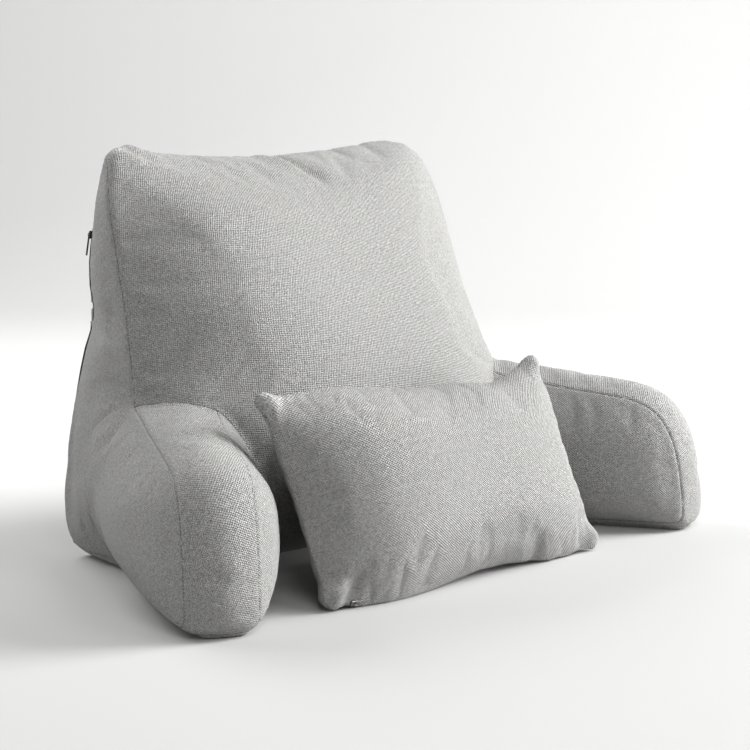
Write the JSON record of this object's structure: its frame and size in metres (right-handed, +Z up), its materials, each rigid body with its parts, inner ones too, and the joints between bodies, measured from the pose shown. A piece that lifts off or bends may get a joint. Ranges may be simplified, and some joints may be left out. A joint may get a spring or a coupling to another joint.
{
  "type": "reading pillow with arms and a loose lumbar cushion",
  "caption": "Wedge-shaped bed reading pillow with padded arms that open outward, a zip up its rear corner, and a small loose lumbar cushion leaning on its front.",
  "frame": {"origin": "on the floor, at the middle of the set's width and depth", "axes": "+X is the right of a viewer in front, along the set's longest side; -Y is the front, where the arms point; +Z is up"},
  "size_m": [0.893, 0.4915, 0.5155],
  "materials": {
    "back_cloth": "matte",
    "arm_cloth": "matte",
    "lumbar_cloth": "matte",
    "zip_tape": "matte",
    "dark_metal": "satin black",
    "bright_metal": "satin"
  },
  "bodies": {
    "root": {"back_cushion": "back_cloth", "arm_left": "arm_cloth", "arm_right": "arm_cloth", "lumbar_cushion": "lumbar_cloth", "side_zip_chain": "zip_tape", "side_zip_slider": "dark_metal", "side_zip_puller": "dark_metal", "lumbar_zip_slider": "bright_metal", "lumbar_zip_puller": "bright_metal"}
  },
  "joints": []
}
